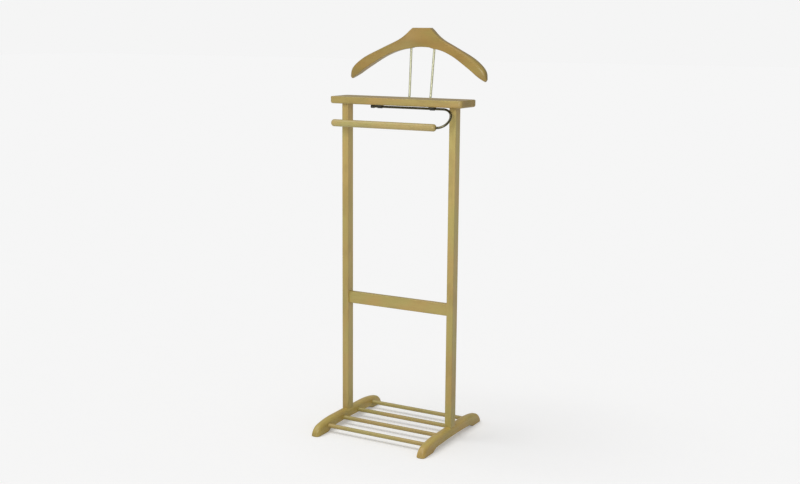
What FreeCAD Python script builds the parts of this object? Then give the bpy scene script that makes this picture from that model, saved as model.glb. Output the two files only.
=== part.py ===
import FreeCAD, Part
import math
import os

# Valet stand in beech with bent steel rods.
#
# Millimetres, +Z up, +X to the wearer's right as seen from the front, -Y towards the front.
# The origin is on the floor at the centre of the footprint.
#
# Two rounded feet carry two uprights, joined by a mid rail and a top shelf.  Four dowels between
# the feet make a shoe rack.  Two rods bent out of the back edge of the shelf carry the coat
# hanger.  The trouser bar is a wooden sleeve on a J-shaped rod, which swings in two bearing
# saddles under the shelf; a lug on its end collar stops it clear of the uprights.

Vector = FreeCAD.Vector

# ---- driving dimensions ------------------------------------------------------------------
upright_spacing = 340.0
upright_width = 20.0
upright_depth = 29.0
upright_edge = 2.0
tenon_depth = 12.0

foot_thickness = 26.0
foot_height = 37.5
foot_top_flat = 82.0
foot_crown_radius = 344.0
foot_crown_angle = 12.25
foot_nose_radius = 38.0
foot_pad_inner = 128.0
foot_ramp_end = 108.0
foot_ramp_height = 8.8
foot_arch_height = 11.8
foot_top_edge = 10.0
foot_bottom_edge = 2.0
foot_screw_offset = 8.0
foot_screw_length = 48.0
foot_screw_radius = 2.5
foot_screw_head = 4.8
foot_screw_sunk = 2.0

rack_rod_diameter = 12.0
rack_rod_pitch = 83.5
rack_rod_height = 19.0
rack_rod_depth = 10.0
pin_chamfer = 1.0

rail_bottom = 358.5
rail_height = 34.0
rail_thickness = 16.0
rail_edge = 2.5

shelf_bottom = 938.0
shelf_thickness = 20.0
shelf_length = 415.0
shelf_front = -37.0
shelf_back = 57.0
shelf_corner = 10.0
shelf_top_edge = 2.5
shelf_lower_edge = 5.5

rod_diameter = 6.5
running_clearance = 0.05

bar_diameter = 20.0
bar_left = -184.0
bar_right = 145.0
bar_end_rounding = 8.5
bar_hole_depth = 60.0
swing_y = -20.0
swing_drop = 4.9
bend_centre_x = 144.8
bend_radius = 31.6
rest_tilt = 41.7

stop_collar_left = -80.0
stop_collar_length = 9.0
stop_collar_radius = 4.6
set_screw_radius = 1.5
set_screw_sunk = 0.2
stop_lug_reach = 9.0
stop_lug_thickness = 3.0
stop_gap = 0.3

saddle_positions = (-52.0, 112.0)
saddle_length = 14.0
saddle_barrel_radius = 4.5
saddle_flange_thickness = 2.0
saddle_flange_reach = 13.5
saddle_flange_corner = 3.0
saddle_screw_offset = 9.2
saddle_screw_radius = 1.6
saddle_screw_head = 3.1
saddle_screw_length = 15.0

hanger_top = 1150.0
hanger_half_flat = 27.0
hanger_centre_y = 131.5
hanger_sweep = 0.165
hanger_sweep_start = 25.0
hanger_lower_edge = 2.0

hanger_rod_foot_x = 34.0
hanger_rod_foot_y = 117.0
hanger_rod_head_x = 37.0
hanger_rod_head_y = 131.7
hanger_rod_head_z = 1088.7
hanger_rod_bend = 14.0
hanger_rod_shelf_depth = 30.0
hanger_rod_hanger_depth = 18.0

dowel_pin_diameter = 8.0
shelf_pin_offset = 7.5
shelf_pin_below = 22.0
shelf_pin_above = 12.0
rail_pin_inset = 9.0
rail_pin_in_rail = 18.0
rail_pin_in_upright = 12.0

# ---- screws: slope of a countersunk head, point radius, and (radius, depth) of each recess ------
screw_head_slope = 0.6
screw_point_radius = 0.3
foot_screw_socket = (1.6, 1.8)
saddle_screw_socket = (1.0, 1.0)
set_screw_socket = (0.7, 1.0)

# ---- places worked out from them ---------------------------------------------------------
upright_x = upright_spacing / 2
upright_inner_x = upright_x - upright_width / 2
foot_inner_x = upright_x - foot_thickness / 2
shelf_top = shelf_bottom + shelf_thickness
swing_z = shelf_bottom - swing_drop
foot_screw_seat = foot_arch_height + foot_screw_sunk
rod_radius = rod_diameter / 2
parts = {}


# ---- helpers -----------------------------------------------------------------------------
def box(low, high):
    """Block between two opposite corners."""
    size = high - low
    return Part.makeBox(size.x, size.y, size.z, low)


def edges_at_height(shape, height):
    """Edges of a shape that lie at one height."""
    return [edge for edge in shape.Edges if all(abs(vertex.Z - height) < 1e-6 for vertex in edge.Vertexes)]


def edges_along(shape, direction):
    """Straight edges of a shape that run along a direction."""
    found = []
    for edge in shape.Edges:
        if isinstance(edge.Curve, Part.Line) and edge.Curve.Direction.cross(direction).Length < 1e-6:
            found.append(edge)
    return found


def mirrored_x(shape):
    """The same shape on the other side of the middle plane."""
    return shape.mirror(Vector(0, 0, 0), Vector(1, 0, 0))


def round_rod(path, radius):
    """Round bar along a smooth path of line and arc edges."""
    wire = Part.Wire(path)
    first = path[0]
    start = first.valueAt(first.FirstParameter)
    tangent = first.tangentAt(first.FirstParameter)
    section = Part.Wire(Part.makeCircle(radius, start, tangent))
    return wire.makePipeShell([section], True, False)


def cylinder(radius, start, end):
    """Round pin from one point to another."""
    return Part.makeCylinder(radius, (end - start).Length, start, end - start)


def rims(pin):
    """Round edges of a turned piece."""
    return [edge for edge in pin.Edges if isinstance(edge.Curve, Part.Circle)]


def chamfered_pin(radius, start, end):
    """Round pin with its two rims broken."""
    pin = cylinder(radius, start, end)
    return pin.makeChamfer(pin_chamfer, rims(pin))


def wood_screw(shank_radius, head_radius, seat, length):
    """Countersunk wood screw driven upwards, with its head face at the seat point."""
    up = Vector(0, 0, 1)
    head = Part.makeCone(head_radius, shank_radius, screw_head_slope * head_radius, seat, up)
    shank_length = length - 2 * shank_radius
    shank = Part.makeCylinder(shank_radius, shank_length, seat, up)
    tip_seat = seat + up * shank_length
    tip = Part.makeCone(shank_radius, screw_point_radius, 2 * shank_radius, tip_seat, up)
    return head.fuse([shank, tip]).removeSplitter()


def with_sockets(screws, radius, depth):
    """Finished screws, each with a round driving recess in its lowest face."""
    finished = []
    for screw in screws:
        face = min(screw.Faces, key=lambda candidate: candidate.CenterOfMass.z)
        finished.append(screw.cut(Part.makeCylinder(radius, depth, face.CenterOfMass)))
    return finished


# ---- feet --------------------------------------------------------------------------------
def foot_blank():
    """Foot of the right-hand side: flat crown, rounded noses, low arch between two pads."""
    angle = math.radians(foot_crown_angle)
    crown = Vector(0, foot_top_flat + foot_crown_radius * math.sin(angle),
                   foot_height - foot_crown_radius * (1 - math.cos(angle)))
    crown_mid = Vector(0, foot_top_flat + foot_crown_radius * math.sin(angle / 2),
                       foot_height - foot_crown_radius * (1 - math.cos(angle / 2)))
    centre = crown - Vector(0, math.sin(angle), math.cos(angle)) * foot_nose_radius
    toe = Vector(0, centre.y + math.sqrt(foot_nose_radius ** 2 - centre.z ** 2), 0)
    middle = ((crown - centre) + (toe - centre)).normalize()
    nose_mid = centre + middle * foot_nose_radius
    flat_end = Vector(0, foot_top_flat, foot_height)
    pad_end = Vector(0, foot_pad_inner, 0)
    ramp_end = Vector(0, foot_ramp_end, foot_ramp_height)
    arch_top = Vector(0, 0, foot_arch_height)

    def rear(point):
        return Vector(0, -point.y, point.z)

    outline = [
        Part.makeLine(rear(flat_end), flat_end),
        Part.Arc(flat_end, crown_mid, crown).toShape(),
        Part.Arc(crown, nose_mid, toe).toShape(),
        Part.makeLine(toe, pad_end),
        Part.makeLine(pad_end, ramp_end),
        Part.Arc(ramp_end, arch_top, rear(ramp_end)).toShape(),
        Part.makeLine(rear(ramp_end), rear(pad_end)),
        Part.makeLine(rear(pad_end), rear(toe)),
        Part.Arc(rear(toe), rear(nose_mid), rear(crown)).toShape(),
        Part.Arc(rear(crown), rear(crown_mid), rear(flat_end)).toShape(),
    ]
    face = Part.Face(Part.Wire(outline))
    blank = face.extrude(Vector(foot_thickness, 0, 0))
    blank.translate(Vector(foot_inner_x, 0, 0))

    def on_a_side(edge):
        sides = (foot_inner_x, foot_inner_x + foot_thickness)
        return any(all(abs(vertex.X - side) < 1e-6 for vertex in edge.Vertexes) for side in sides)

    def below_the_arch(edge):
        return edge.BoundBox.ZMax < foot_arch_height + foot_bottom_edge

    upper = [edge for edge in blank.Edges if on_a_side(edge) and not below_the_arch(edge)]
    rounded = blank.makeFillet(foot_top_edge, upper)
    lengthwise = foot_thickness / 2
    under = [edge for edge in rounded.Edges if below_the_arch(edge) and edge.BoundBox.YLength > lengthwise]
    return rounded.makeFillet(foot_bottom_edge, under)


def rack_rod_places():
    """Front-to-back places of the four shoe rack dowels."""
    return [(index - 1.5) * rack_rod_pitch for index in range(4)]


def rack_rod(place):
    """One shoe rack dowel, let into both feet."""
    reach = foot_inner_x + rack_rod_depth
    start = Vector(-reach, place, rack_rod_height)
    end = Vector(reach, place, rack_rod_height)
    return chamfered_pin(rack_rod_diameter / 2, start, end)


def foot_screw_pair():
    """Two screws driven up through the right-hand foot into its upright."""
    pair = []
    for place in (-foot_screw_offset, foot_screw_offset):
        seat = Vector(upright_x, place, foot_screw_seat)
        pair.append(wood_screw(foot_screw_radius, foot_screw_head, seat, foot_screw_length))
    return pair


def foot_screw_ways():
    """Clearance from under the foot to the heads of its two screws."""
    ways = []
    for place in (-foot_screw_offset, foot_screw_offset):
        floor_point = Vector(upright_x, place, 0)
        ways.append(cylinder(foot_screw_head, floor_point, Vector(upright_x, place, foot_screw_seat)))
    return ways


def upright_blank():
    """Right-hand upright, from its stub tenon in the foot to the underside of the shelf."""
    low = Vector(upright_inner_x, -upright_depth / 2, foot_height - tenon_depth)
    high = Vector(upright_inner_x + upright_width, upright_depth / 2, shelf_bottom)
    post = box(low, high)
    return post.makeFillet(upright_edge, edges_along(post, Vector(0, 0, 1)))


# ---- joints in the wood ------------------------------------------------------------------
def shelf_pin_pair():
    """Two dowel pins between the right-hand upright and the shelf."""
    pair = []
    for place in (-shelf_pin_offset, shelf_pin_offset):
        start = Vector(upright_x, place, shelf_bottom - shelf_pin_below)
        end = Vector(upright_x, place, shelf_bottom + shelf_pin_above)
        pair.append(chamfered_pin(dowel_pin_diameter / 2, start, end))
    return pair


def rail_pin_pair():
    """Two dowel pins between the rail and the right-hand upright."""
    pair = []
    for height in (rail_bottom + rail_pin_inset, rail_bottom + rail_height - rail_pin_inset):
        start = Vector(upright_inner_x - rail_pin_in_rail, 0, height)
        end = Vector(upright_inner_x + rail_pin_in_upright, 0, height)
        pair.append(chamfered_pin(dowel_pin_diameter / 2, start, end))
    return pair


def both_sides(pieces):
    """A right-hand set and its mirror image."""
    return pieces + [mirrored_x(piece) for piece in pieces]


# ---- trouser rod, its bar, collar and saddles ----------------------------------------------
def tilt_direction():
    """Unit vector from the swing axis to the trouser bar at rest."""
    angle = math.radians(rest_tilt)
    return Vector(0, -math.sin(angle), -math.cos(angle))


def trouser_rod_shape():
    """J-shaped rod: straight under the shelf, half-turn bend, short leg inside the bar."""
    axis_left = Vector(stop_collar_left, swing_y, swing_z)
    axis_right = Vector(bend_centre_x, swing_y, swing_z)
    down = tilt_direction()
    half_turn = axis_right + down * bend_radius + Vector(bend_radius, 0, 0)
    bar_axis = axis_right + down * (2 * bend_radius)
    leg_end = Vector(bar_right - bar_hole_depth, bar_axis.y, bar_axis.z)
    path = [
        Part.makeLine(axis_left, axis_right),
        Part.Arc(axis_right, half_turn, bar_axis).toShape(),
        Part.makeLine(bar_axis, leg_end),
    ]
    return round_rod(path, rod_radius)


def trouser_bar_shape():
    """Wooden bar with rounded ends, drilled from its right end for the rod."""
    offset = tilt_direction() * (2 * bend_radius)
    start = Vector(bar_left, swing_y + offset.y, swing_z + offset.z)
    end = Vector(bar_right, start.y, start.z)
    bar = cylinder(bar_diameter / 2, start, end)
    bar = bar.makeFillet(bar_end_rounding, rims(bar))
    hole = cylinder(rod_radius, end - Vector(bar_hole_depth, 0, 0), end + Vector(1, 0, 0))
    return bar.cut(hole)


def stop_collar_screw():
    """Set screw that clamps the collar to the rod, from below."""
    x = stop_collar_left + stop_collar_length / 2
    foot = Vector(x, swing_y, swing_z - stop_collar_radius + set_screw_sunk)
    head = Vector(x, swing_y, swing_z - rod_radius)
    return cylinder(set_screw_radius, foot, head)


def stop_collar():
    """Collar on the end of the rod, with the lug that comes to rest under the shelf."""
    start = Vector(stop_collar_left, swing_y, swing_z)
    end = start + Vector(stop_collar_length, 0, 0)
    ring = cylinder(stop_collar_radius, start, end)
    lug_top = shelf_bottom - stop_gap
    lug = box(Vector(start.x, swing_y, lug_top - stop_lug_thickness),
              Vector(end.x, swing_y + stop_lug_reach, lug_top))
    body = ring.fuse(lug).removeSplitter()
    return body.cut(cylinder(rod_radius, start, end)).cut(stop_collar_screw())


def saddle_screws(x):
    """Two countersunk screws of one bearing saddle."""
    pair = []
    for side in (-1, 1):
        seat = Vector(x, swing_y + side * saddle_screw_offset, shelf_bottom - saddle_flange_thickness)
        pair.append(wood_screw(saddle_screw_radius, saddle_screw_head, seat, saddle_screw_length))
    return pair


def saddle(x):
    """Bearing saddle screwed under the shelf: a flange with a barrel bored for the rod."""
    left = x - saddle_length / 2
    right = x + saddle_length / 2
    reach = saddle_flange_reach
    flange = box(Vector(left, swing_y - reach, shelf_bottom - saddle_flange_thickness),
                 Vector(right, swing_y + reach, shelf_bottom))
    flange = flange.makeFillet(saddle_flange_corner, edges_along(flange, Vector(0, 0, 1)))
    web = box(Vector(left, swing_y - saddle_barrel_radius, swing_z),
              Vector(right, swing_y + saddle_barrel_radius, shelf_bottom))
    start = Vector(left, swing_y, swing_z)
    end = Vector(right, swing_y, swing_z)
    barrel = cylinder(saddle_barrel_radius, start, end)
    bore = cylinder(rod_radius + running_clearance, start, end)
    body = flange.fuse([web, barrel]).removeSplitter().cut(bore)
    for screw in saddle_screws(x):
        body = body.cut(screw)
    return body


# ---- coat hanger and its rods ----------------------------------------------------------------
def hanger_middle_y(x):
    """The hanger runs straight across its middle and its wings sweep forward."""
    sweep = math.sqrt(x * x + hanger_sweep_start ** 2) - hanger_sweep_start
    return hanger_centre_y - hanger_sweep * sweep


def hanger_section(top, bottom, thickness, top_rounding):
    """Section between a point of the top edge and one of the lower edge: round above, crisp below."""
    top_point = Vector(top[0], 0, top[1])
    bottom_point = Vector(bottom[0], 0, bottom[1])
    up = (top_point - bottom_point).normalize()
    across = Vector(0, 1, 0)
    centre = (top_point + bottom_point) * 0.5
    centre.y = hanger_middle_y(centre.x)
    half_height = (top_point - bottom_point).Length / 2
    half_width = thickness / 2
    edges = []
    corners = ((1, 1), (-1, 1), (-1, -1), (1, -1))
    diagonal = 1 - math.sqrt(0.5)
    ends = []
    for wide, high in corners:
        rounding = top_rounding if high > 0 else hanger_lower_edge
        corner = centre + across * (wide * half_width) + up * (high * half_height)
        along_side = corner - up * (high * rounding)
        along_edge = corner - across * (wide * rounding)
        inset = diagonal * rounding
        middle = corner - across * (wide * inset) - up * (high * inset)
        first, last = (along_side, along_edge) if wide * high > 0 else (along_edge, along_side)
        ends.append((first, middle, last))
    for index, (first, middle, last) in enumerate(ends):
        edges.append(Part.Arc(first, middle, last).toShape())
        edges.append(Part.makeLine(last, ends[(index + 1) % 4][0]))
    return Part.Wire(edges)


# Each rib: point on the top edge, point on the lower edge (x, z), thickness, rounding above.
middle_ribs = (
    ((0, hanger_top), (0, 1096.4), 22, 3),
    ((14, hanger_top), (14, 1096.1), 22, 3),
    ((hanger_half_flat, hanger_top), (27, 1095.2), 22, 3),
)
wing_ribs = (
    ((hanger_half_flat, hanger_top), (27, 1095.2), 22, 3),
    ((45, 1134.8), (42, 1091.6), 22.5, 4),
    ((68, 1118), (62, 1088), 23, 5),
    ((97, 1104), (88, 1079.7), 24, 6.5),
    ((132, 1087.5), (119, 1065), 26, 8),
    ((165, 1071.5), (150, 1046), 28, 9),
    ((192.5, 1053.5), (176.5, 1028.5), 28, 9.5),
    ((210.5, 1035.5), (192, 1017), 24, 8),
    ((216, 1022), (204.5, 1009), 18, 5.5),
    ((218, 1011), (213, 1004), 10, 3),
)


def hanger_rod(side):
    """Rod from the back edge of the shelf, bent up to carry the hanger."""
    leg_z = shelf_bottom + shelf_thickness / 2
    foot = Vector(side * hanger_rod_foot_x, hanger_rod_foot_y, leg_z)
    head = Vector(side * hanger_rod_head_x, hanger_rod_head_y, hanger_rod_head_z)
    back = Vector(0, 1, 0)
    rise = (head - foot).normalize()
    turn = back.getAngle(rise)
    set_back = hanger_rod_bend * math.tan(turn / 2)
    leg_start = Vector(foot.x, shelf_back - hanger_rod_shelf_depth, leg_z)
    bend_start = foot - back * set_back
    bend_end = foot + rise * set_back
    inward = (rise - back).normalize()
    bend_centre = foot + inward * (hanger_rod_bend / math.cos(turn / 2))
    bend_middle = bend_centre - inward * hanger_rod_bend
    path = [
        Part.makeLine(leg_start, bend_start),
        Part.Arc(bend_start, bend_middle, bend_end).toShape(),
        Part.makeLine(bend_end, head + rise * hanger_rod_hanger_depth),
    ]
    return round_rod(path, rod_radius)


def hanger_blank():
    """Coat hanger: middle block and two wings lofted through their ribs."""
    right_half = [hanger_section(*rib) for rib in middle_ribs]
    middle = Part.makeLoft(right_half, True, False)
    wing = Part.makeLoft([hanger_section(*rib) for rib in wing_ribs], True, False)
    half = middle.fuse(wing)
    return half.fuse(mirrored_x(half)).removeSplitter()


# ---- shelf and rail --------------------------------------------------------------------------
def shelf_blank():
    """Top shelf with rounded corners and softened edges."""
    low = Vector(-shelf_length / 2, shelf_front, shelf_bottom)
    high = Vector(shelf_length / 2, shelf_back, shelf_top)
    board = box(low, high)
    board = board.makeFillet(shelf_corner, edges_along(board, Vector(0, 0, 1)))
    board = board.makeFillet(shelf_top_edge, edges_at_height(board, shelf_top))
    return board.makeFillet(shelf_lower_edge, edges_at_height(board, shelf_bottom))


def rail_blank():
    """Mid rail between the uprights."""
    low = Vector(-upright_inner_x, -rail_thickness / 2, rail_bottom)
    high = Vector(upright_inner_x, rail_thickness / 2, rail_bottom + rail_height)
    rail = box(low, high)
    return rail.makeFillet(rail_edge, edges_along(rail, Vector(1, 0, 0)))


# ---- build -----------------------------------------------------------------------------------
foot = foot_blank()
upright = upright_blank()
foot_screws = foot_screw_pair()
shelf_pins = shelf_pin_pair()
rail_pins = rail_pin_pair()
rack_rods = [rack_rod(place) for place in rack_rod_places()]
hanger_rods = {"left": hanger_rod(-1), "right": hanger_rod(1)}
saddle_screw_set = [screw for x in saddle_positions for screw in saddle_screws(x)]

foot = foot.cut(upright)
for piece in foot_screws + foot_screw_ways() + rack_rods:
    foot = foot.cut(piece)
for piece in foot_screws + shelf_pins + rail_pins:
    upright = upright.cut(piece)
parts["right_foot"] = foot
parts["left_foot"] = mirrored_x(foot)
parts["right_upright"] = upright
parts["left_upright"] = mirrored_x(upright)

rail = rail_blank()
for piece in both_sides(rail_pins):
    rail = rail.cut(piece)
parts["cross_rail"] = rail

shelf = shelf_blank()
for piece in both_sides(shelf_pins) + saddle_screw_set + list(hanger_rods.values()):
    shelf = shelf.cut(piece)
parts["top_shelf"] = shelf

hanger = hanger_blank()
for piece in hanger_rods.values():
    hanger = hanger.cut(piece)
parts["coat_hanger"] = hanger

for side, rod in hanger_rods.items():
    parts["hanger_rod_" + side] = rod
for index, rod in enumerate(rack_rods, start=1):
    parts["shoe_rack_rod_" + str(index)] = rod

parts["trouser_rod"] = trouser_rod_shape()
parts["trouser_bar"] = trouser_bar_shape()
parts["stop_collar"] = stop_collar()
parts["stop_collar_screw"] = with_sockets([stop_collar_screw()], *set_screw_socket)[0]
for side, x in zip(("left", "right"), saddle_positions):
    parts["rod_saddle_" + side] = saddle(x)

parts["saddle_screws"] = Part.makeCompound(with_sockets(saddle_screw_set, *saddle_screw_socket))
parts["foot_screws"] = Part.makeCompound(with_sockets(both_sides(foot_screws), *foot_screw_socket))
parts["shelf_dowel_pins"] = Part.makeCompound(both_sides(shelf_pins))
parts["rail_dowel_pins"] = Part.makeCompound(both_sides(rail_pins))

os.makedirs("parts", exist_ok=True)
for name, shape in parts.items():
    shape.exportStep(os.path.join("parts", name + ".step"))
    box_size = shape.BoundBox
    print(f"{name:20s} solids {len(shape.Solids)} valid {shape.isValid()} volume {shape.Volume:10.0f}"
          f"  z {box_size.ZMin:7.1f} to {box_size.ZMax:7.1f}")
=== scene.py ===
# %% [markdown]
# # Valet stand
# A beech clothes stand: two rounded feet, two uprights, a rail, a shoe rack, a small shelf, a coat
# hanger on two bent rods, and a trouser bar on a J-shaped steel rod.  The engineering model is
# loaded as a fixed frame, and this lesson gives each piece its finished form and surface.

import math

import bmesh
import bpy
from mathutils import Matrix, Vector


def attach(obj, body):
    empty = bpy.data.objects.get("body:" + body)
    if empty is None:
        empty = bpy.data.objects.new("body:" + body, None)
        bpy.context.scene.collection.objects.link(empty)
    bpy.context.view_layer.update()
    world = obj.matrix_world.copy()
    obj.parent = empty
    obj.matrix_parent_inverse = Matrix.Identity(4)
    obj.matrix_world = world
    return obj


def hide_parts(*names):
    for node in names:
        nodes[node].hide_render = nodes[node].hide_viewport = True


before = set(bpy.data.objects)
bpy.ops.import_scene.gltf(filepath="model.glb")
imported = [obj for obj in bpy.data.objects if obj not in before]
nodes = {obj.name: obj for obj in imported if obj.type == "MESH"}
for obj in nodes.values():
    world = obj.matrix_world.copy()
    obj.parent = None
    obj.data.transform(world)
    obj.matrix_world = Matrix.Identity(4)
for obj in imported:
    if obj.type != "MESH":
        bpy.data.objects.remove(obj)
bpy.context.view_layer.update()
MM = 0.001

# %% [markdown]
# ## Camera
# The stand is seen from the front and a little from its right, slightly above its middle.  A real
# camera would stand a little over three metres away with a lens just longer than normal, so that is what
# is used here.  The three rows of the rotation are built from yaw, pitch and roll.

# %% Camera three metres away
YAW = math.radians(28.92)
PITCH = math.radians(10.34)
ROLL = math.radians(0.43)
LENS = 51.8
CAMERA_PLACE = Vector((1.5538, -2.8063, 1.1378))


def camera_axes(yaw, pitch, roll):
    """Right, up and forward directions of a camera."""
    forward = Vector((-math.sin(yaw) * math.cos(pitch), math.cos(yaw) * math.cos(pitch), -math.sin(pitch)))
    level = Vector((math.cos(yaw), math.sin(yaw), 0))
    upright = level.cross(forward)
    right = level * math.cos(roll) + upright * math.sin(roll)
    up = upright * math.cos(roll) - level * math.sin(roll)
    return right, up, forward


right, up, forward = camera_axes(YAW, PITCH, ROLL)
lens_data = bpy.data.cameras.new("studio_camera")
lens_data.lens = LENS
lens_data.clip_end = 60
camera = bpy.data.objects.new("studio_camera", lens_data)
camera.matrix_world = Matrix.Translation(CAMERA_PLACE) @ Matrix((right, up, -forward)).transposed().to_4x4()
bpy.context.scene.collection.objects.link(camera)
bpy.context.scene.camera = camera
print("camera looks along", [round(v, 3) for v in forward])

# %% [markdown]
# ## Reading shader maths as sums
# A wood finish is mostly arithmetic on noise.  Written node by node it is hard to follow, so a
# small class wraps the output of a node: adding or multiplying two of them adds the Math node that
# does it.  Colours are left to Mix nodes, because a Math node would turn them grey.

# %% Signals and finishes
ALONG = {"X": (0, 1, 2), "Y": (1, 2, 0), "Z": (2, 0, 1)}
OBJECT_PLACE = 3
NORMAL_PLACE = 1


class Signal:
    """The output of a shader node; arithmetic on it adds Math nodes."""

    def __init__(self, finish, socket):
        self.finish = finish
        self.socket = socket

    def math(self, operation, *others):
        values = {place: value for place, value in enumerate(others)}
        return self.finish.node("ShaderNodeMath", {"operation": operation}, values)

    def __add__(self, other):
        return self.math("ADD", self, other)

    def __sub__(self, other):
        return self.math("SUBTRACT", self, other)

    def __mul__(self, other):
        return self.math("MULTIPLY", self, other)

    __radd__ = __add__
    __rmul__ = __mul__

    def step(self, low, high):
        """0 below low, 1 above high, smooth between."""
        settings = {"interpolation_type": "SMOOTHSTEP"}
        return self.finish.node("ShaderNodeMapRange", settings, {0: self, 1: low, 2: high})


class Finish:
    """A material whose nodes are added by type, settings and socket values."""

    def __init__(self, name):
        self.material = bpy.data.materials.new(name)
        self.material.use_nodes = True
        self.tree = self.material.node_tree
        self.tree.nodes.clear()

    def node(self, kind, settings=None, values=None, output=0):
        """Adds a node.  Its settings come first, then the values or links of its sockets."""
        made = self.tree.nodes.new(kind)
        for name, value in (settings or {}).items():
            setattr(made, name, value)
        for place, value in (values or {}).items():
            socket = made.inputs[place]
            if isinstance(value, Signal):
                self.tree.links.new(value.socket, socket)
            else:
                socket.default_value = value
        return Signal(self, made.outputs[output])

    def split(self, vector, grain):
        """Three parts of a vector: along the grain, across it and through it."""
        first = self.node("ShaderNodeSeparateXYZ", {}, {0: vector})
        outputs = first.socket.node.outputs
        return [Signal(self, outputs[index]) for index in ALONG[grain]]

    def point(self, x, y, z):
        """Vector built from three parts."""
        return self.node("ShaderNodeCombineXYZ", {}, {0: x, 1: y, 2: z})

    def noise(self, vector, scale, detail=2.0, roughness=0.5):
        values = {"Vector": vector, "Scale": scale, "Detail": detail, "Roughness": roughness}
        return self.node("ShaderNodeTexNoise", {"noise_dimensions": "3D"}, values)

    def mix(self, factor, first, second, blend="MIX"):
        """Colour mix: first where the factor is 0, second where it is 1."""
        settings = {"data_type": "RGBA", "blend_type": blend, "clamp_factor": True}
        return self.node("ShaderNodeMix", settings, {0: factor, 6: first, 7: second}, output=2)

    def shaded(self, values):
        """Ends the tree in a Principled shader with these sockets."""
        shader = self.node("ShaderNodeBsdfPrincipled", {}, values)
        end = self.tree.nodes.new("ShaderNodeOutputMaterial")
        self.tree.links.new(shader.socket, end.inputs["Surface"])
        return self.material

    def bump(self, height, strength, distance, under=None):
        values = {"Strength": strength, "Distance": distance, "Height": height}
        if under is not None:
            values["Normal"] = under
        return self.node("ShaderNodeBump", {}, values)


def rgb(red, green, blue):
    """Colour socket value."""
    return (red, green, blue, 1.0)


def scaled(colour, factor):
    """Colour socket value with all three parts scaled."""
    return rgb(*[value * factor for value in colour])


print("helpers ready")

# %% [markdown]
# ## Room
# The stand is in front of a white sweep that shows no horizon.  The sweep and the surround are
# bright to the camera, but they give the wood only a mild, even light.  A soft box high in front
# of the shelf does most of the lighting: the posts get darker towards the floor, and the faces
# towards +X stay darker than the fronts.  A weak overhead sun lays a soft shadow on the floor, and
# a second one, which lights only the floor, deepens that shadow without brightening the wood.

# %% Floor, surround and lamps
BACKDROP = 0.913
SURROUND = 0.38
FLOOR_GLOW = 0.258
FLOOR_REACH = 40.0


def seamless_floor():
    """Large pale floor; its glow is for the camera only."""
    mesh = bpy.data.meshes.new("floor")
    turns = ((-1, -1), (1, -1), (1, 1), (-1, 1))
    corners = [(x * FLOOR_REACH, y * FLOOR_REACH, 0) for x, y in turns]
    mesh.from_pydata(corners, [], [(0, 1, 2, 3)])
    floor = bpy.data.objects.new("floor", mesh)
    bpy.context.scene.collection.objects.link(floor)
    finish = Finish("floor_paint")
    point = finish.node("ShaderNodeTexCoord", {}, {}, OBJECT_PLACE)
    speckle = finish.noise(point, 9.0, 3.0)
    colour = finish.mix(speckle, rgb(0.795, 0.795, 0.795), rgb(0.805, 0.805, 0.805))
    seen = finish.node("ShaderNodeLightPath")
    glow = finish.mix(seen, rgb(0, 0, 0), rgb(FLOOR_GLOW, FLOOR_GLOW, FLOOR_GLOW))
    mesh.materials.append(finish.shaded({
        "Base Color": colour, "Roughness": 0.9, "Specular IOR Level": 0.0,
        "Emission Color": glow, "Emission Strength": 1.0}))
    return floor


def white_surround():
    """World that the camera sees as a white wall, and that lights the wood only mildly."""
    world = bpy.data.worlds.new("surround")
    world.use_nodes = True
    tree = world.node_tree
    backdrop = tree.nodes["Background"]
    seen = tree.nodes.new("ShaderNodeLightPath")
    level = tree.nodes.new("ShaderNodeMapRange")
    level.inputs["To Min"].default_value = SURROUND
    level.inputs["To Max"].default_value = BACKDROP
    tree.links.new(seen.outputs["Is Camera Ray"], level.inputs["Value"])
    tree.links.new(level.outputs[0], backdrop.inputs["Strength"])
    backdrop.inputs["Color"].default_value = rgb(1, 1, 1)
    bpy.context.scene.world = world


floor = seamless_floor()
white_surround()
bpy.context.scene.view_settings.view_transform = "Standard"


def lamp(name, kind, energy, place, target):
    """Lamp of a kind at a place, pointed at a target."""
    light = bpy.data.lights.new(name, kind)
    light.energy = energy
    holder = bpy.data.objects.new(name, light)
    holder.location = place
    away = Vector(place) - Vector(target)
    holder.rotation_euler = away.to_track_quat("Z", "Y").to_euler()
    bpy.context.scene.collection.objects.link(holder)
    return light


overhead = lamp("overhead_sun", "SUN", 0.7, (-0.9, -0.35, 2.0), (0, 0, 0))
overhead.angle = math.radians(35)
soft_box = lamp("soft_box", "AREA", 9.5, (0.30, -1.25, 1.30), (0, 0, 0.75))
soft_box.size = 0.7
stand_only = bpy.data.collections.new("soft_box_subjects")
for piece in nodes.values():
    stand_only.objects.link(piece)
bpy.data.objects["soft_box"].light_linking.receiver_collection = stand_only
floor_sun = lamp("floor_sun", "SUN", 0.785, (-0.25, -0.1, 2.0), (0, 0, 0))
floor_sun.angle = math.radians(48)
floor_only = bpy.data.collections.new("floor_sun_subjects")
floor_only.objects.link(floor)
bpy.data.objects["floor_sun"].light_linking.receiver_collection = floor_only
print("lamps: overhead_sun, soft_box, floor_sun")

# %% [markdown]
# ## Beech
# Beech is a pale, even timber.  What tells it from other woods is its texture: soft broad streaks
# along the board, very fine fibres, and short dark flecks a few millimetres long on the faces.
# Across the ends of a board the fibres are cut, so the end grain is darker and shows faint rings.
# The pattern is worked out in three dimensions from the object's own coordinates, as if each
# piece were cut from a solid block, and each piece has its own block.

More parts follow.
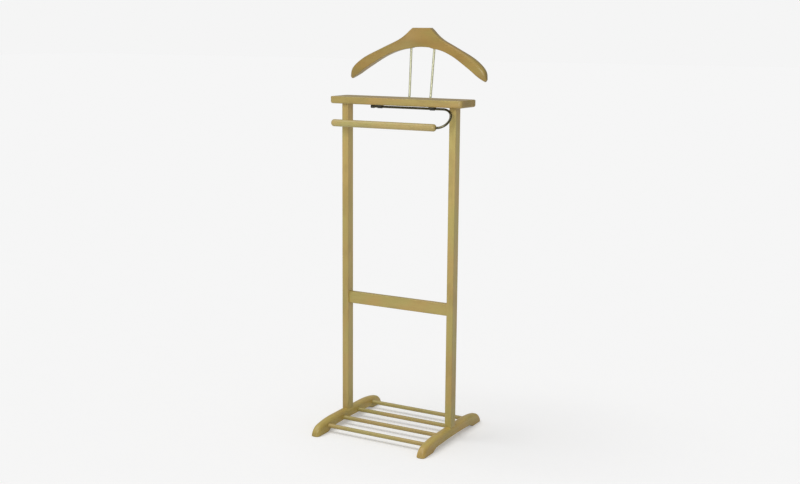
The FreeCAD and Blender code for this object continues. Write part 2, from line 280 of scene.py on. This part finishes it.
# %% Beech finish
def beech(name, grain, block, pale, deep, lacquer=0.42):
    """Lacquered beech with its fibres along one axis; block moves the pattern."""
    finish = Finish(name)
    place = finish.node("ShaderNodeTexCoord", {}, {}, OBJECT_PLACE)
    along, across, through = finish.split(place, grain)

    def wood_point(stretch, spread, shift):
        return finish.point(along * stretch + (block + shift), across * spread + block,
                            through * spread - block)

    wander = finish.noise(wood_point(3.0, 9.0, 0.0), 1.0, 2.0) - 0.5
    wavy = finish.point(along * 1.6 + block, across * 46 + wander * 3.0, through * 46 + block)
    streaks = finish.noise(wavy, 1.0, 4.0, 0.55)
    bands = finish.noise(wood_point(2.4, 17.0, 3.1), 1.0, 3.0, 0.5)
    fibres = finish.noise(wood_point(30.0, 900.0, 7.7), 1.0, 2.0, 0.6)
    flecks = finish.noise(wood_point(190.0, 1250.0, 1.3), 1.0, 1.0, 0.4).step(0.66, 0.74)
    patches = finish.noise(wood_point(9.0, 22.0, 11.0), 1.0, 2.0)
    clouds = finish.noise(wood_point(11.0, 30.0, 19.0), 1.0, 3.0, 0.6)

    tone = streaks * 0.55 + bands * 0.45
    colour = finish.mix(tone.step(0.33, 0.68), rgb(*pale), rgb(*deep))
    rosy = rgb(pale[0] * 1.06, pale[1] * 0.90, pale[2] * 0.80)
    green = rgb(pale[0] * 0.93, pale[1] * 1.02, pale[2] * 0.84)
    tint = finish.mix(patches.step(0.35, 0.65), rosy, green)
    colour = finish.mix(0.50, colour, tint)
    colour = finish.mix(clouds.step(0.46, 0.68) * 0.30, colour, scaled(deep, 0.72))
    colour = finish.mix(fibres.step(0.45, 0.75) * 0.16, colour, scaled(deep, 0.55))
    colour = finish.mix(flecks * 0.42, colour, scaled(deep, 0.42))

    normal = finish.node("ShaderNodeTexCoord", {}, {}, NORMAL_PLACE)
    end_on = finish.split(normal, grain)[0]
    cut = end_on.math("ABSOLUTE", end_on).step(0.72, 0.95)
    rings = finish.noise(wood_point(0.0, 150.0, 5.0), 1.0, 3.0, 0.6)
    end_colour = finish.mix(rings, scaled(deep, 0.80), scaled(deep, 0.58))
    colour = finish.mix(cut * 0.30, colour, end_colour)

    rough = finish.noise(place, 120.0, 3.0) * 0.16 + (lacquer - 0.08) + cut * 0.18 + flecks * 0.05
    height = fibres * 0.35 - flecks * 0.6 + streaks * 0.3
    dents = finish.noise(place, 38.0, 2.0)
    soft = finish.bump(dents, 0.10, 0.0012)
    grain_bump = finish.bump(height, 0.22, 0.00035, soft)
    coat_wear = finish.noise(place, 24.0, 3.0).step(0.3, 0.7) * 0.10 + 0.12
    return finish.shaded({
        "Base Color": colour, "Roughness": rough, "Normal": grain_bump,
        "Coat Weight": coat_wear, "Coat Roughness": 0.28, "IOR": 1.5})


PALE = (0.545, 0.425, 0.148)
DEEP = (0.44, 0.325, 0.098)
FOOT_PALE = (0.59, 0.440, 0.130)
FOOT_DEEP = (0.45, 0.300, 0.076)
HANGER_PALE = (0.415, 0.292, 0.082)
HANGER_DEEP = (0.325, 0.212, 0.050)
ROD_PALE = (0.495, 0.405, 0.160)
ROD_DEEP = (0.415, 0.322, 0.114)
RACK_PALE = (0.50, 0.40, 0.150)
RACK_DEEP = (0.42, 0.32, 0.105)
SHELF_PALE = (0.46, 0.34, 0.115)
SHELF_DEEP = (0.36, 0.25, 0.073)

woods = {
    "left_upright": beech("beech_left_upright", "Z", 2.0, PALE, DEEP),
    "right_upright": beech("beech_right_upright", "Z", 9.0, PALE, DEEP),
    "cross_rail": beech("beech_rail", "X", 14.0, PALE, DEEP),
    "top_shelf": beech("beech_shelf", "X", 21.0, SHELF_PALE, SHELF_DEEP),
    "left_foot": beech("beech_left_foot", "Y", 27.0, FOOT_PALE, FOOT_DEEP),
    "right_foot": beech("beech_right_foot", "Y", 33.0, FOOT_PALE, FOOT_DEEP),
    "coat_hanger": beech("beech_hanger", "X", 40.0, HANGER_PALE, HANGER_DEEP, 0.38),
    "trouser_bar": beech("beech_bar", "X", 47.0, ROD_PALE, ROD_DEEP),
    "shelf_dowel_pins": beech("beech_shelf_pins", "Z", 61.0, ROD_PALE, ROD_DEEP, 0.7),
    "rail_dowel_pins": beech("beech_rail_pins", "X", 66.0, ROD_PALE, ROD_DEEP, 0.7),
}
rack_wood = beech("beech_rack", "X", 53.0, RACK_PALE, RACK_DEEP)
for index in range(1, 5):
    woods[f"shoe_rack_rod_{index}"] = rack_wood
for name, material in woods.items():
    nodes[name].material_slots[0].material = material
print("beech pieces:", len(woods))

# %% [markdown]
# ## Metals and moulding
# The hanger rods are pale plated steel, the trouser rod is steel whose colour is painted very dark as
# painted shade and painted reflection of the dark shelf underside, and the saddles and the collar are black
# mouldings.  Drawn rod keeps faint lines along its length and a slightly uneven shine where hands touch it.

# %% Metal and moulding finishes
def drawn_metal(name, grain, colour, tarnish, shine):
    """Polished rod with fine lines along it and faint tarnish."""
    finish = Finish(name)
    place = finish.node("ShaderNodeTexCoord", {}, {}, OBJECT_PLACE)
    along, across, through = finish.split(place, grain)
    lines = finish.noise(finish.point(along * 14, across * 1900, through * 1900), 1.0, 2.0)
    smudges = finish.noise(place, 70.0, 3.0).step(0.42, 0.66)
    spots = finish.noise(place, 420.0, 2.0).step(0.68, 0.76)
    base = finish.mix(smudges * 0.16, rgb(*colour), rgb(*tarnish))
    base = finish.mix(spots * 0.5, base, scaled(tarnish, 0.5))
    rough = smudges * 0.05 + lines * 0.05 + spots * 0.1 + shine
    bump = finish.bump(lines, 0.12, 0.0001)
    return finish.shaded({"Base Color": base, "Metallic": 1.0, "Roughness": rough, "Normal": bump})


def moulding(name, colour):
    """Black moulded plastic with a fine spark-eroded texture."""
    finish = Finish(name)
    place = finish.node("ShaderNodeTexCoord", {}, {}, OBJECT_PLACE)
    stipple = finish.noise(place, 2600.0, 2.0)
    dust = finish.noise(place, 90.0, 4.0).step(0.5, 0.75)
    base = finish.mix(dust * 0.3, rgb(*colour), scaled(colour, 2.2))
    rough = stipple * 0.16 + dust * 0.1 + 0.42
    bump = finish.bump(stipple, 0.25, 0.0001)
    return finish.shaded({"Base Color": base, "Roughness": rough, "Normal": bump})


pale_metal = drawn_metal("plated_rod", "Z", (0.64, 0.64, 0.45), (0.50, 0.49, 0.30), 0.46)
# The trouser rod's base colour is painted very dark: painted shade and painted reflection of the dark shelf
# underside.
shade_painted_steel = drawn_metal("steel_rod_painted_shade", "X", (0.12, 0.11, 0.066), (0.06, 0.054, 0.028), 0.24)
zinc = drawn_metal("zinc_screw", "Z", (0.60, 0.60, 0.57), (0.42, 0.40, 0.34), 0.30)
black = moulding("black_moulding", (0.036, 0.034, 0.026))
metals = {
    "hanger_rod_left": pale_metal, "hanger_rod_right": pale_metal, "trouser_rod": shade_painted_steel,
    "stop_collar": black, "rod_saddle_left": black, "rod_saddle_right": black,
    "stop_collar_screw": zinc, "saddle_screws": zinc, "foot_screws": zinc,
}
for name, material in metals.items():
    nodes[name].material_slots[0].material = material
print("other pieces:", len(metals))

# %% [markdown]
# ## Bent rods
# The trouser rod and the two hanger rods are round wire, bent cold round a former: straight
# lengths joined by arcs of one radius.  That is a path with a section, so Geometry Nodes make it.
# The path goes in as a few sharp corners, the tree rounds them, and sweeps a circle along it.

# %% Geometry Nodes helper and the rod tree
class Grown:
    """A Geometry Nodes tree with named inputs, built node by node."""

    def __init__(self, name, inputs):
        self.tree = bpy.data.node_groups.new(name, "GeometryNodeTree")
        self.tree.interface.new_socket("Geometry", in_out="INPUT", socket_type="NodeSocketGeometry")
        self.tree.interface.new_socket("Geometry", in_out="OUTPUT", socket_type="NodeSocketGeometry")
        for title, kind in inputs.items():
            self.tree.interface.new_socket(title, in_out="INPUT", socket_type="NodeSocket" + kind)
        self.given = self.tree.nodes.new("NodeGroupInput").outputs

    def node(self, kind, settings=None, values=None, output=0):
        """Adds a node and returns one of its output sockets."""
        made = self.tree.nodes.new(kind)
        for name, value in (settings or {}).items():
            setattr(made, name, value)
        for place, value in (values or {}).items():
            if isinstance(value, bpy.types.NodeSocket):
                self.tree.links.new(value, made.inputs[place])
            else:
                made.inputs[place].default_value = value
        return made.outputs[output]

    def end(self, geometry):
        """Smooth shading, real geometry, the material, and the output."""
        smooth = self.node("GeometryNodeSetShadeSmooth", {}, {"Geometry": geometry})
        real = self.node("GeometryNodeRealizeInstances", {}, {"Geometry": smooth})
        painted = self.node("GeometryNodeSetMaterial", {}, {
            "Geometry": real, "Material": self.given["Material"]})
        self.tree.links.new(painted, self.tree.nodes.new("NodeGroupOutput").inputs[0])


def grow(name, start, grown, values, sharp=40):
    """Runs a tree on a start mesh and returns one plain mesh object."""
    source = bpy.data.objects.new(name + "_start", start)
    bpy.context.scene.collection.objects.link(source)
    modifier = source.modifiers.new("grow", "NODES")
    modifier.node_group = grown.tree
    for item in grown.tree.interface.items_tree:
        if item.name in values:
            modifier[item.identifier] = values[item.name]
    ready = source.evaluated_get(bpy.context.evaluated_depsgraph_get())
    mesh = bpy.data.meshes.new_from_object(ready)
    mesh.name = name
    mesh.set_sharp_from_angle(angle=math.radians(sharp))
    source.modifiers.remove(modifier)
    bpy.data.objects.remove(source)
    piece = bpy.data.objects.new(name, mesh)
    bpy.context.scene.collection.objects.link(piece)
    stand_only.objects.link(piece)
    return piece


def path_mesh(name, points):
    """Open path through points given in millimetres."""
    mesh = bpy.data.meshes.new(name)
    places = [Vector(point) * MM for point in points]
    mesh.from_pydata(places, [(index, index + 1) for index in range(len(places) - 1)], [])
    return mesh


rod_grown = Grown("bent_rod", {
    "Rod radius": "Float", "Bend radius": "Float", "Material": "Material"})
given = rod_grown.given
curve = rod_grown.node("GeometryNodeMeshToCurve", {}, {"Mesh": given["Geometry"]})
bent = rod_grown.node("GeometryNodeFilletCurve", {"mode": "POLY"}, {
    "Curve": curve, "Count": 28, "Radius": given["Bend radius"], "Limit Radius": True})
circle = rod_grown.node("GeometryNodeCurvePrimitiveCircle", {}, {
    "Resolution": 40, "Radius": given["Rod radius"]})
swept = rod_grown.node("GeometryNodeCurveToMesh", {}, {
    "Curve": bent, "Profile Curve": circle, "Fill Caps": True})
rod_grown.end(swept)
print("rod tree nodes:", len(rod_grown.tree.nodes))

# %% Trouser rod and hanger rods
ROD_RADIUS = 3.25
SWING_Y = -20.0
SWING_Z = 933.1
ROD_LEFT_END = -80.0
BEND_CENTRE_X = 144.8
BEND = 31.6
LEG_END_X = 85.0
TILT = math.radians(41.7)
HANGER_ROD_X = 34.0
HANGER_ROD_SHELF_END_Y = 27.0
HANGER_ROD_CORNER_Y = 117.0
HANGER_ROD_Z = 948.0
HANGER_ROD_BEND = 14.0
HANGER_ROD_HEAD = (37.0, 131.7, 1088.7)
HANGER_ROD_DEPTH = 18.0

down = Vector((0, -math.sin(TILT), -math.cos(TILT)))
axis_left = Vector((ROD_LEFT_END, SWING_Y, SWING_Z))
outer = Vector((BEND_CENTRE_X + BEND, SWING_Y, SWING_Z))
bar_outer = outer + down * (2 * BEND)
leg_end = Vector((LEG_END_X, bar_outer.y, bar_outer.z))
trouser_path = path_mesh("trouser_rod_path", [axis_left, outer, bar_outer, leg_end])
trouser_rod = grow("bent_trouser_rod", trouser_path, rod_grown, {
    "Rod radius": ROD_RADIUS * MM, "Bend radius": BEND * MM, "Material": shade_painted_steel})
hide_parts("trouser_rod")
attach(trouser_rod, "trouser_hanger")

for side, name in ((-1, "left"), (1, "right")):
    shelf_end = Vector((side * HANGER_ROD_X, HANGER_ROD_SHELF_END_Y, HANGER_ROD_Z))
    corner = Vector((side * HANGER_ROD_X, HANGER_ROD_CORNER_Y, HANGER_ROD_Z))
    head = Vector((side * HANGER_ROD_HEAD[0], HANGER_ROD_HEAD[1], HANGER_ROD_HEAD[2]))
    top_end = head + (head - corner).normalized() * HANGER_ROD_DEPTH
    rod_path = path_mesh("hanger_rod_path", [shelf_end, corner, top_end])
    rod = grow("bent_hanger_rod_" + name, rod_path, rod_grown, {
        "Rod radius": ROD_RADIUS * MM, "Bend radius": HANGER_ROD_BEND * MM, "Material": pale_metal})
    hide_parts("hanger_rod_" + name)
    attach(rod, "frame")
print("rod faces:", len(trouser_rod.data.polygons), len(rod.data.polygons))

# %% [markdown]
# ## Shoe rack
# The rack is four equal dowels at one pitch, so one dowel is made and set on a line of four
# points.  Turned dowel is never quite straight or quite round, so a slow noise with a fixed seed
# moves its surface by a few hundredths of a millimetre, which keeps the highlights from looking
# ruled.

# %% Dowels of the shoe rack
rack_grown = Grown("shoe_rack", {
    "Dowels": "Int", "Pitch": "Float", "Reach": "Float", "Radius": "Float", "Unevenness": "Float",
    "Seed": "Float", "Material": "Material"})
given = rack_grown.given
far = rack_grown.node("ShaderNodeCombineXYZ", {}, {"X": given["Reach"]})
near = rack_grown.node("ShaderNodeVectorMath", {"operation": "SCALE"}, {0: far, "Scale": -1.0})
axis = rack_grown.node("GeometryNodeCurvePrimitiveLine", {}, {"Start": near, "End": far})
stations = rack_grown.node("GeometryNodeResampleCurve", {}, {"Curve": axis, "Count": 80})
ring = rack_grown.node("GeometryNodeCurvePrimitiveCircle", {}, {
    "Resolution": 36, "Radius": given["Radius"]})
dowel = rack_grown.node("GeometryNodeCurveToMesh", {}, {
    "Curve": stations, "Profile Curve": ring, "Fill Caps": True})
step = rack_grown.node("ShaderNodeCombineXYZ", {}, {"Y": given["Pitch"]})
line = rack_grown.node("GeometryNodeMeshLine", {}, {"Count": given["Dowels"], "Offset": step})
row = rack_grown.node("GeometryNodeInstanceOnPoints", {}, {"Points": line, "Instance": dowel})
whole = rack_grown.node("GeometryNodeRealizeInstances", {}, {"Geometry": row})
wander = rack_grown.node("ShaderNodeTexNoise", {"noise_dimensions": "4D"}, {
    "W": given["Seed"], "Scale": 16.0}, output=1)
centred = rack_grown.node("ShaderNodeVectorMath", {"operation": "SUBTRACT"}, {
    0: wander, 1: (0.5, 0.5, 0.5)})
nudge = rack_grown.node("ShaderNodeVectorMath", {"operation": "SCALE"}, {
    0: centred, "Scale": given["Unevenness"]})
sideways = rack_grown.node("ShaderNodeVectorMath", {"operation": "MULTIPLY"}, {0: nudge, 1: (0, 1, 1)})
uneven = rack_grown.node("GeometryNodeSetPosition", {}, {"Geometry": whole, "Offset": sideways})
rack_grown.end(uneven)

DOWELS = 4
PITCH = 83.5
DOWEL_REACH = 166.8
DOWEL_RADIUS = 5.93
UNEVENNESS = 0.12
RACK_HEIGHT = 19.0
rack = grow("shoe_rack_dowels", path_mesh("rack_start", [(0, 0, 0), (1, 0, 0)]), rack_grown, {
    "Dowels": DOWELS, "Pitch": PITCH * MM, "Reach": DOWEL_REACH * MM, "Radius": DOWEL_RADIUS * MM,
    "Unevenness": UNEVENNESS * MM, "Seed": 3.0, "Material": rack_wood})
front_dowel_y = -(DOWELS - 1) / 2 * PITCH
rack.data.transform(Matrix.Translation(Vector((0, front_dowel_y, RACK_HEIGHT)) * MM))
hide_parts(*[f"shoe_rack_rod_{index}" for index in range(1, DOWELS + 1)])
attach(rack, "frame")
print("rack faces:", len(rack.data.polygons))

# %% [markdown]
# ## Screws
# Eight wood screws show from below: four hold the two saddles under the shelf, and four go up
# through the feet.  A screw is a round body, so it is made as a stack of rings: a cross recess, a
# countersunk head, a helical thread, whose rings swell and shrink as they climb, and a point.
# Geometry Nodes then set the screw on its places, each turned by its own amount.

# %% One wood screw
SEGMENTS = 32


def cross_radius(angle, arm, half_width):
    """Outline of a cross recess in one direction from its centre."""
    fold = abs((angle + math.pi / 4) % (math.pi / 2) - math.pi / 4)
    return min(arm / math.cos(fold), half_width / max(math.sin(fold), 1e-6))


def thread_radius(angle, height, core, crest, pitch):
    """Radius of a helical thread in one direction at one height."""
    phase = (height / pitch - angle / (2 * math.pi)) % 1.0
    return core + (crest - core) * max(0.0, 1 - abs(phase - 0.5) * 5)


def screw_pattern(name, head, shank, length, pitch):
    """Countersunk cross-recess wood screw, head down at the origin, point up."""
    head_height = 0.6 * head
    arm, half_width, depth = 0.52 * head, 0.15 * head, 0.45 * head_height
    angles = [2 * math.pi * index / SEGMENTS for index in range(SEGMENTS)]
    rings = [
        [(cross_radius(a, arm, half_width) * 0.55, depth) for a in angles],
        [(cross_radius(a, arm, half_width), 0.0) for a in angles],
        [(0.94 * head, 0.0) for a in angles],
        [(0.995 * head, 0.05 * head) for a in angles],
        [(shank, head_height) for a in angles],
    ]
    thread_start = head_height + 0.2 * (length - head_height)
    thread_end = length - 2.2 * shank
    core, crest = 0.68 * shank, 0.99 * shank
    rings.append([(0.92 * shank, head_height + 0.1) for a in angles])
    rings.append([(0.92 * shank, thread_start) for a in angles])
    steps = int((thread_end - thread_start) / pitch * 8)
    for index in range(steps + 1):
        height = thread_start + 0.1 + (thread_end - thread_start) * index / steps
        rings.append([(thread_radius(a, height, core, crest, pitch), height) for a in angles])
    rings.append([(0.3 * shank, length - 0.5 * shank) for a in angles])
    pattern = bmesh.new()
    loops = []
    for ring in rings:
        places = [(r * math.cos(a), r * math.sin(a), h) for a, (r, h) in zip(angles, ring)]
        loops.append([pattern.verts.new(Vector(place) * MM) for place in places])
    for low, high in zip(loops[:-1], loops[1:]):
        for index in range(SEGMENTS):
            after = (index + 1) % SEGMENTS
            pattern.faces.new((low[index], low[after], high[after], high[index]))
    floor_point = pattern.verts.new((0, 0, depth * 1.1 * MM))
    tip = pattern.verts.new((0, 0, length * MM))
    for index in range(SEGMENTS):
        after = (index + 1) % SEGMENTS
        pattern.faces.new((loops[0][after], loops[0][index], floor_point))
        pattern.faces.new((loops[-1][index], loops[-1][after], tip))
    bmesh.ops.recalc_face_normals(pattern, faces=pattern.faces)
    mesh = bpy.data.meshes.new(name)
    pattern.to_mesh(mesh)
    pattern.free()
    made = bpy.data.objects.new(name, mesh)
    bpy.context.scene.collection.objects.link(made)
    return made


screw_grown = Grown("set_screws", {"Screw": "Object", "Seed": "Int", "Material": "Material"})
given = screw_grown.given
pattern_geometry = screw_grown.node("GeometryNodeObjectInfo", {}, {
    "Object": given["Screw"]}, output="Geometry")
turn = screw_grown.node("FunctionNodeRandomValue", {"data_type": "FLOAT"}, {
    2: 0.0, 3: math.pi, "Seed": given["Seed"]}, output=1)
heading = screw_grown.node("ShaderNodeCombineXYZ", {}, {"Z": turn})
placed = screw_grown.node("GeometryNodeInstanceOnPoints", {}, {
    "Points": given["Geometry"], "Instance": pattern_geometry, "Rotation": heading})
screw_grown.end(placed)


def set_screws(name, pattern, places, seed, node):
    """One mesh with a screw at each place, standing in for a CAD node."""
    piece = grow(name, path_mesh(name + "_places", places), screw_grown, {
        "Screw": pattern, "Seed": seed, "Material": zinc}, sharp=32)
    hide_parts(node)
    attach(piece, "frame")
    bpy.data.objects.remove(pattern)
    return piece


SADDLE_X = (-52.0, 112.0)
SADDLE_SCREW_OFFSET = 9.2
SADDLE_SCREW_SEAT = 936.02
FOOT_X = 170.0
FOOT_SCREW_OFFSET = 8.0
FOOT_SCREW_SEAT = 13.82
SIDES = (-1, 1)
saddle_places = [(x, SWING_Y + side * SADDLE_SCREW_OFFSET, SADDLE_SCREW_SEAT)
                 for x in SADDLE_X for side in SIDES]
foot_places = [(side * FOOT_X, end * FOOT_SCREW_OFFSET, FOOT_SCREW_SEAT)
               for side in SIDES for end in SIDES]
saddle_pattern = screw_pattern("saddle_screw", head=3.08, shank=1.6, length=14.9, pitch=1.3)
foot_pattern = screw_pattern("foot_screw", head=4.75, shank=2.5, length=47.9, pitch=2.4)
saddle_screws = set_screws("saddle_wood_screws", saddle_pattern, saddle_places, 4, "saddle_screws")
foot_screws = set_screws("foot_wood_screws", foot_pattern, foot_places, 9, "foot_screws")
print("screw faces:", len(saddle_screws.data.polygons), len(foot_screws.data.polygons))
